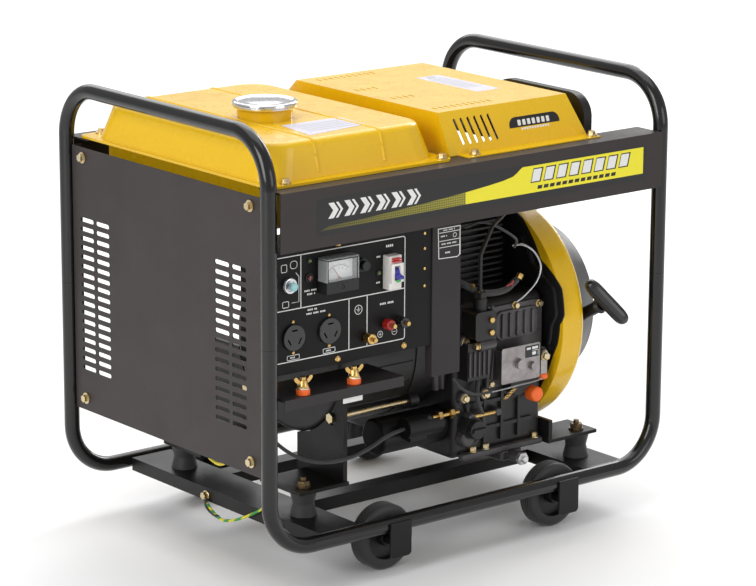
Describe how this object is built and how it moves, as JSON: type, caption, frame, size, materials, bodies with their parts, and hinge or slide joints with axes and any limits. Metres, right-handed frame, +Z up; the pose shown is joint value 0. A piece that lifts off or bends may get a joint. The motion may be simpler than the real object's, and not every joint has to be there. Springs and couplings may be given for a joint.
{
  "type": "engine driven welder",
  "caption": "Open-frame diesel engine driven welder with alternator, tank, heat cover, control panel, weld terminals and recoil starter, on small wheels.",
  "frame": {"origin": "on the floor under the middle of the frame", "axes": "+X along the crankshaft towards the recoil starter, +Y to the back, away from the control panel, +Z up"},
  "size_m": [0.72, 0.4983, 0.6455],
  "materials": {
    "black_tube": "gloss black powder coat",
    "charcoal_sheet": "satin charcoal powder coat",
    "black_sheet": "satin black paint",
    "yellow_paint": "gloss yellow enamel",
    "zinc_bolt": "yellow zinc",
    "chrome_cap": "polished",
    "black_rubber": "matte",
    "wheel_rubber": "matte",
    "cast_black": "painted casting",
    "cast_alloy": "cast",
    "shaft_steel": "ground",
    "copper_wound": "varnished windings",
    "bright_plate": "zinc plated",
    "black_plastic": "satin",
    "gloss_black_plastic": "gloss",
    "white_plastic": "satin",
    "blue_plastic": "satin",
    "orange_plastic": "satin",
    "red_plastic": "gloss",
    "brass": "plain",
    "clear_glass": "clear",
    "steel_key": "polished"
  },
  "bodies": {
    "root": {"frame_left_hoop": "black_tube", "frame_right_hoop": "black_tube", "frame_front_rail": "black_tube", "frame_rear_rail": "black_tube", "engine_base": "black_sheet", "front_top_beam": "charcoal_sheet", "rear_top_beam": "charcoal_sheet", "left_end_panel": "charcoal_sheet", "flange_bolts": "zinc_bolt", "rubber_mounts": "black_rubber", "engine_brackets": "black_sheet", "mount_bolts": "zinc_bolt", "wheel_brackets": "black_sheet", "fuel_tank": "yellow_paint", "muffler": "cast_black", "muffler_cover": "yellow_paint", "air_cleaner": "black_plastic", "crankcase": "cast_black", "cylinder": "cast_black", "cylinder_head": "cast_alloy", "fan_shroud": "yellow_paint", "recoil_housing": "black_plastic", "alternator_stator": "cast_black", "alternator_bolts": "zinc_bolt", "starter_motor": "black_sheet", "injection_pump": "cast_black", "speed_plate": "bright_plate", "control_panel": "charcoal_sheet", "voltmeter_case": "black_plastic", "voltmeter_lens": "clear_glass", "key_switch": "steel_key", "breaker_body": "white_plastic", "outlet_sockets": "gloss_black_plastic", "terminal_studs": "brass", "weld_shelf": "charcoal_sheet", "weld_insulators": "orange_plastic", "harness_leads": "black_rubber"},
    "crank": {"crankshaft": "shaft_steel", "flywheel": "cast_black", "alternator_rotor": "copper_wound"},
    "piston": {"piston": "cast_alloy"},
    "reel": {"recoil_reel": "black_plastic"},
    "grip": {"recoil_grip": "black_plastic"},
    "wheel_front_left": {"front_left_wheel": "wheel_rubber"},
    "wheel_front_right": {"front_right_wheel": "wheel_rubber"},
    "wheel_rear_left": {"rear_left_wheel": "wheel_rubber"},
    "wheel_rear_right": {"rear_right_wheel": "wheel_rubber"},
    "tank_cap": {"fuel_cap": "chrome_cap"},
    "ignition_key": {"key_rotor": "steel_key"},
    "toggle": {"breaker_toggle": "blue_plastic"},
    "needle": {"voltmeter_needle": "red_plastic"},
    "fuse": {"fuse_cap": "black_plastic"},
    "earth_nut": {"earth_knob": "brass"},
    "red_nut": {"red_terminal_knob": "red_plastic"},
    "black_nut": {"black_terminal_knob": "gloss_black_plastic"},
    "left_weld_nut": {"left_wing_nut": "brass"},
    "right_weld_nut": {"right_wing_nut": "brass"},
    "speed_arm": {"speed_lever": "orange_plastic"},
    "stop": {"stop_knob": "orange_plastic"},
    "oil_filler": {"oil_cap": "black_plastic"}
  },
  "joints": [
    {"name": "crank_spin", "type": "hinge", "parent": "root", "child": "crank", "pos_m": [0.12, -0.033, 0.283], "axis": [1, 0, 0], "continuous": true},
    {"name": "piston_slide", "type": "slide", "parent": "root", "child": "piston", "axis": [0, 0, -1], "range_m": [0, 0.07]},
    {"name": "rope_pull", "type": "slide", "parent": "root", "child": "grip", "axis": [0, -0.866, 0.5], "range_m": [0, 0.17], "stiffness_N_per_m": 40, "springref_m": -0.25},
    {"name": "reel_turn", "type": "hinge", "parent": "root", "child": "reel", "pos_m": [0.268, -0.033, 0.283], "axis": [-1, 0, 0], "range_deg": [0, 160]},
    {"name": "cap_turn", "type": "hinge", "parent": "root", "child": "tank_cap", "pos_m": [-0.203, -0.033, 0.63], "axis": [0, 0, 1], "range_deg": [0, 90]},
    {"name": "key_turn", "type": "hinge", "parent": "root", "child": "ignition_key", "pos_m": [-0.309, -0.223, 0.431], "axis": [0, 1, 0], "range_deg": [0, 90]},
    {"name": "breaker_flip", "type": "hinge", "parent": "root", "child": "toggle", "pos_m": [-0.138, -0.234, 0.425], "axis": [-1, 0, 0], "range_deg": [0, 42]},
    {"name": "needle_swing", "type": "hinge", "parent": "root", "child": "needle", "pos_m": [-0.233, -0.237, 0.4325], "axis": [0, 1, 0], "range_deg": [0, 80], "stiffness_Nm_per_rad": 0.0002},
    {"name": "fuse_turn", "type": "hinge", "parent": "root", "child": "fuse", "pos_m": [-0.19, -0.223, 0.442], "axis": [0, 1, 0], "range_deg": [0, 90]},
    {"name": "earth_nut_turn", "type": "hinge", "parent": "root", "child": "earth_nut", "pos_m": [-0.178, -0.223, 0.339], "axis": [0, -1, 0], "range_deg": [0, 360]},
    {"name": "red_nut_turn", "type": "hinge", "parent": "root", "child": "red_nut", "pos_m": [-0.145, -0.223, 0.353], "axis": [0, -1, 0], "range_deg": [0, 360]},
    {"name": "black_nut_turn", "type": "hinge", "parent": "root", "child": "black_nut", "pos_m": [-0.121, -0.223, 0.353], "axis": [0, -1, 0], "range_deg": [0, 360]},
    {"name": "left_wing_nut_turn", "type": "hinge", "parent": "root", "child": "left_weld_nut", "pos_m": [-0.292, -0.233, 0.296], "axis": [0, 0, 1], "range_deg": [0, 360]},
    {"name": "right_wing_nut_turn", "type": "hinge", "parent": "root", "child": "right_weld_nut", "pos_m": [-0.206, -0.233, 0.296], "axis": [0, 0, 1], "range_deg": [0, 360]},
    {"name": "speed_swing", "type": "hinge", "parent": "root", "child": "speed_arm", "pos_m": [0.178, -0.181, 0.246], "axis": [0, 1, 0], "range_deg": [-25, 25]},
    {"name": "stop_press", "type": "slide", "parent": "root", "child": "stop", "axis": [0, 1, 0], "range_m": [0, 0.008], "stiffness_N_per_m": 400, "springref_m": -0.01},
    {"name": "oil_cap_turn", "type": "hinge", "parent": "root", "child": "oil_filler", "pos_m": [0.05, -0.185, 0.16], "axis": [0, -1, 0], "range_deg": [0, 360]},
    {"name": "front_left_wheel_spin", "type": "hinge", "parent": "root", "child": "wheel_front_left", "pos_m": [-0.135, -0.2055, 0.0465], "axis": [0, 1, 0], "continuous": true},
    {"name": "front_right_wheel_spin", "type": "hinge", "parent": "root", "child": "wheel_front_right", "pos_m": [0.174, -0.2055, 0.0465], "axis": [0, 1, 0], "continuous": true},
    {"name": "rear_left_wheel_spin", "type": "hinge", "parent": "root", "child": "wheel_rear_left", "pos_m": [-0.135, 0.2055, 0.0465], "axis": [0, 1, 0], "continuous": true},
    {"name": "rear_right_wheel_spin", "type": "hinge", "parent": "root", "child": "wheel_rear_right", "pos_m": [0.174, 0.2055, 0.0465], "axis": [0, 1, 0], "continuous": true}
  ],
  "couplings": [
    {"joint": "reel_turn", "follows": "rope_pull", "rad_per_m": 15.949}
  ]
}
